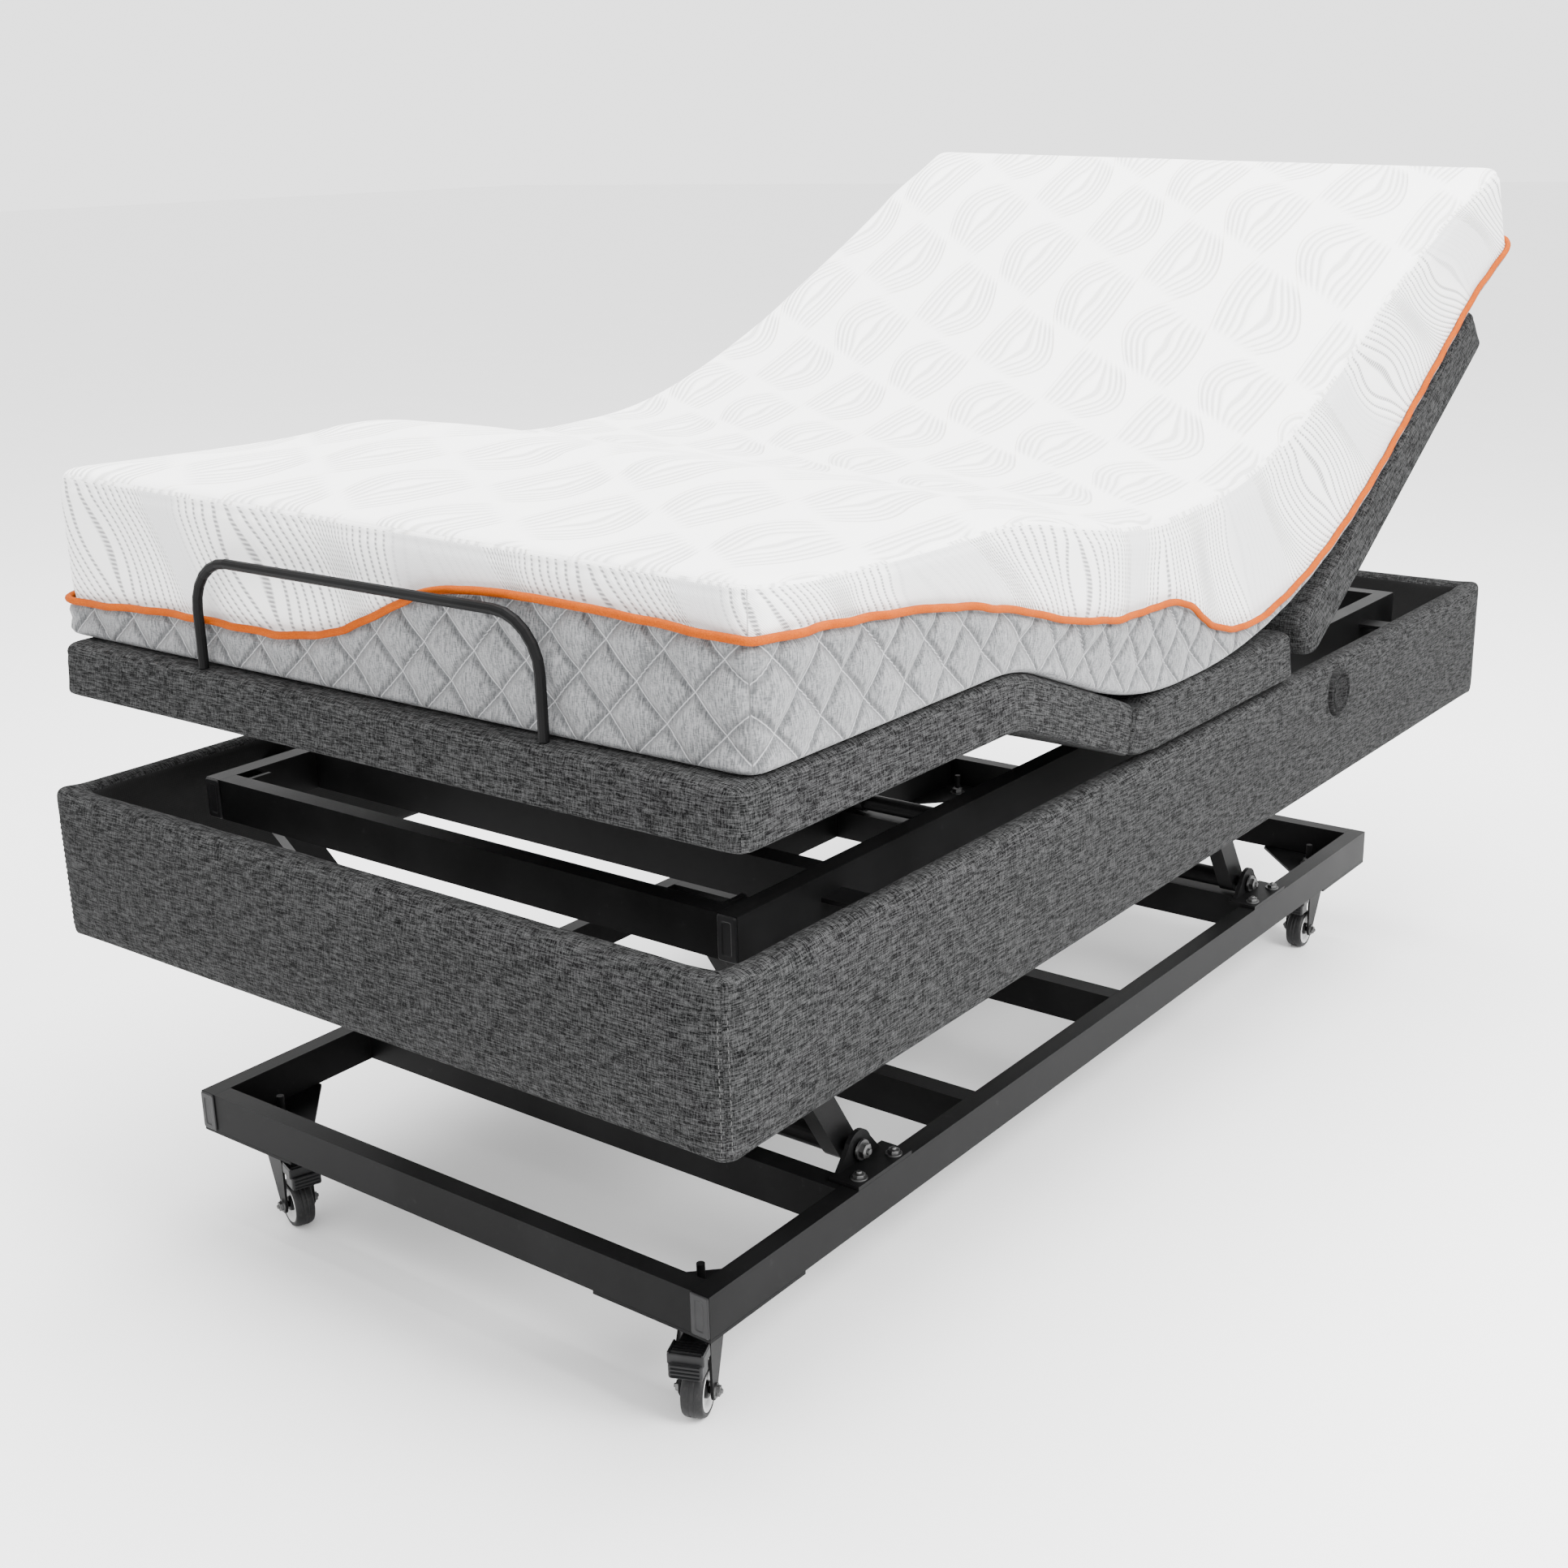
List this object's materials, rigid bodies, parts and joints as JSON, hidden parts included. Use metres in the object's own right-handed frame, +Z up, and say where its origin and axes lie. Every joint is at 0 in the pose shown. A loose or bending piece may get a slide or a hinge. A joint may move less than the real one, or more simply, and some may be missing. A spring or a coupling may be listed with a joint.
{
  "type": "adjustable bed base",
  "caption": "Height-adjustable bed base with a hinged, padded deck, grey upholstered surround, black steel frame on braked casters, and a quilted mattress.",
  "frame": {"origin": "on the floor under the middle of the whole bed at rest", "axes": "+Y along the bed towards the head end, +X across the bed, +Z up"},
  "size_m": [1.08, 2.0659, 1.3164],
  "materials": {
    "black_steel": "satin",
    "rod_steel": "satin",
    "caster_wheel": "satin",
    "black_plastic": "matte",
    "grey_upholstery": "matte",
    "mattress_knit": "matte"
  },
  "bodies": {
    "base": {"base_cross_bar_1": "black_steel", "base_cross_bar_2": "black_steel", "base_cross_bar_3": "black_steel", "base_cross_bar_4": "black_steel", "base_rail_foot": "black_steel", "base_rail_head": "black_steel", "base_rail_left": "black_steel", "base_rail_right": "black_steel", "corner_gusset_foot_left": "black_steel", "corner_gusset_foot_right": "black_steel", "corner_gusset_head_left": "black_steel", "corner_gusset_head_right": "black_steel", "front_arm_bracket_left": "black_steel", "front_arm_bracket_right": "black_steel", "rear_arm_bracket_left": "black_steel", "rear_arm_bracket_right": "black_steel"},
    "caster_foot_left_swivel": {"caster_fork_foot_left": "black_steel"},
    "caster_foot_left_wheel": {"caster_wheel_foot_left": "caster_wheel"},
    "caster_foot_left_pedal": {"caster_pedal_foot_left": "black_plastic"},
    "caster_foot_right_swivel": {"caster_fork_foot_right": "black_steel"},
    "caster_foot_right_wheel": {"caster_wheel_foot_right": "caster_wheel"},
    "caster_foot_right_pedal": {"caster_pedal_foot_right": "black_plastic"},
    "caster_head_left_swivel": {"caster_fork_head_left": "black_steel"},
    "caster_head_left_wheel": {"caster_wheel_head_left": "caster_wheel"},
    "caster_head_left_pedal": {"caster_pedal_head_left": "black_plastic"},
    "caster_head_right_swivel": {"caster_fork_head_right": "black_steel"},
    "caster_head_right_wheel": {"caster_wheel_head_right": "caster_wheel"},
    "caster_head_right_pedal": {"caster_pedal_head_right": "black_plastic"},
    "front_arms": {"front_lift_arms": "black_steel"},
    "rear_arms": {"rear_lift_arms": "black_steel"},
    "lift_rod": {"lift_push_rod": "rod_steel"},
    "head_rod": {"head_push_rod": "rod_steel"},
    "leg_rod": {"leg_push_rod": "rod_steel"},
    "head": {"head_section": "grey_upholstery", "head_hinge_tube": "black_steel", "mattress_head": "mattress_knit"},
    "thigh": {"thigh_section": "grey_upholstery", "thigh_hinge_tube": "black_steel", "mattress_thigh": "mattress_knit"},
    "foot": {"foot_section": "grey_upholstery", "retainer_bar": "black_steel", "mattress_foot": "mattress_knit"},
    "lift_frame": {"control_box": "black_plastic", "head_actuator": "black_plastic", "leg_actuator": "black_plastic", "lift_actuator": "black_plastic", "mattress_seat": "mattress_knit", "seat_section": "grey_upholstery", "surround_panel_foot": "grey_upholstery", "surround_panel_head": "grey_upholstery", "surround_panel_left": "grey_upholstery", "surround_panel_right": "grey_upholstery", "upper_cross_bar_1": "black_steel", "upper_cross_bar_2": "black_steel", "upper_cross_bar_3": "black_steel", "upper_rail_foot": "black_steel", "upper_rail_head": "black_steel", "upper_rail_left": "black_steel", "upper_rail_right": "black_steel"}
  },
  "joints": [
    {"name": "caster_foot_left_swivel", "type": "hinge", "parent": "base", "child": "caster_foot_left_swivel", "pos_m": [-0.358, -0.8679, 0.12], "axis": [0, 0, 1], "continuous": true},
    {"name": "caster_foot_left_roll", "type": "hinge", "parent": "caster_foot_left_swivel", "child": "caster_foot_left_wheel", "pos_m": [-0.33342, -0.87636, 0.03222], "axis": [0.3256, 0.9455, 0], "continuous": true},
    {"name": "caster_foot_left_brake", "type": "hinge", "parent": "caster_foot_left_swivel", "child": "caster_foot_left_pedal", "pos_m": [-0.32963, -0.87767, 0.095], "axis": [0.3256, 0.9455, 0], "range_deg": [0, 12]},
    {"name": "caster_foot_right_swivel", "type": "hinge", "parent": "base", "child": "caster_foot_right_swivel", "pos_m": [0.358, -0.8679, 0.12], "axis": [0, 0, 1], "continuous": true},
    {"name": "caster_foot_right_roll", "type": "hinge", "parent": "caster_foot_right_swivel", "child": "caster_foot_right_wheel", "pos_m": [0.36816, -0.89183, 0.03222], "axis": [0.9205, 0.3907, 0], "continuous": true},
    {"name": "caster_foot_right_brake", "type": "hinge", "parent": "caster_foot_right_swivel", "child": "caster_foot_right_pedal", "pos_m": [0.36972, -0.89551, 0.095], "axis": [0.9205, 0.3907, 0], "range_deg": [0, 12]},
    {"name": "caster_head_left_swivel", "type": "hinge", "parent": "base", "child": "caster_head_left_swivel", "pos_m": [-0.358, 0.7791, 0.12], "axis": [0, 0, 1], "continuous": true},
    {"name": "caster_head_left_roll", "type": "hinge", "parent": "caster_head_left_swivel", "child": "caster_head_left_wheel", "pos_m": [-0.345, 0.75658, 0.03222], "axis": [0.866, 0.5, 0], "continuous": true},
    {"name": "caster_head_left_brake", "type": "hinge", "parent": "caster_head_left_swivel", "child": "caster_head_left_pedal", "pos_m": [-0.343, 0.75312, 0.095], "axis": [0.866, 0.5, 0], "range_deg": [0, 12]},
    {"name": "caster_head_right_swivel", "type": "hinge", "parent": "base", "child": "caster_head_right_swivel", "pos_m": [0.358, 0.7791, 0.12], "axis": [0, 0, 1], "continuous": true},
    {"name": "caster_head_right_roll", "type": "hinge", "parent": "caster_head_right_swivel", "child": "caster_head_right_wheel", "pos_m": [0.35936, 0.75314, 0.03222], "axis": [0.9986, 0.0523, 0], "continuous": true},
    {"name": "caster_head_right_brake", "type": "hinge", "parent": "caster_head_right_swivel", "child": "caster_head_right_pedal", "pos_m": [0.35957, 0.74914, 0.095], "axis": [0.9986, 0.0523, 0], "range_deg": [0, 12]},
    {"name": "lift", "type": "hinge", "parent": "base", "child": "front_arms", "pos_m": [0, -0.6079, 0.213], "axis": [-1, 0, 0], "range_deg": [-38, 6]},
    {"name": "rear_arms_pivot", "type": "hinge", "parent": "base", "child": "rear_arms", "pos_m": [0, 0.4621, 0.213], "axis": [-1, 0, 0], "range_deg": [-38.5, 6.5]},
    {"name": "lift_frame_pivot", "type": "hinge", "parent": "front_arms", "child": "lift_frame", "pos_m": [0, -0.82517, 0.5607], "axis": [-1, 0, 0], "range_deg": [-6.5, 38.5]},
    {"name": "lift_rod_slide", "type": "slide", "parent": "lift_frame", "child": "lift_rod", "axis": [0, -1, 0], "range_m": [-0.03283, 0.00561]},
    {"name": "head_hinge", "type": "hinge", "parent": "lift_frame", "child": "head", "pos_m": [0, 0.2871, 0.651], "axis": [1, 0, 0], "range_deg": [-32.5, 25]},
    {"name": "head_rod_slide", "type": "slide", "parent": "lift_frame", "child": "head_rod", "axis": [0, 1, 0], "range_m": [-0.03076, 0.02378]},
    {"name": "thigh_hinge", "type": "hinge", "parent": "lift_frame", "child": "thigh", "pos_m": [0, -0.2029, 0.651], "axis": [-1, 0, 0], "range_deg": [-20.8, 14]},
    {"name": "leg_rod_slide", "type": "slide", "parent": "lift_frame", "child": "leg_rod", "axis": [0, -1, 0], "range_m": [-0.02017, 0.01374]},
    {"name": "foot_hinge", "type": "hinge", "parent": "thigh", "child": "foot", "pos_m": [0, -0.48596, 0.75853], "axis": [-1, 0, 0], "range_deg": [-14.5, 21.3]}
  ],
  "couplings": [
    {"joint": "rear_arms_pivot", "follows": "lift", "ratio": 1},
    {"joint": "lift_frame_pivot", "follows": "lift", "ratio": -1},
    {"joint": "lift_rod_slide", "follows": "lift", "m_per_rad": 0.04875},
    {"joint": "head_rod_slide", "follows": "head_hinge", "m_per_rad": 0.05335},
    {"joint": "leg_rod_slide", "follows": "thigh_hinge", "m_per_rad": 0.054175},
    {"joint": "foot_hinge", "follows": "thigh_hinge", "ratio": -1}
  ]
}
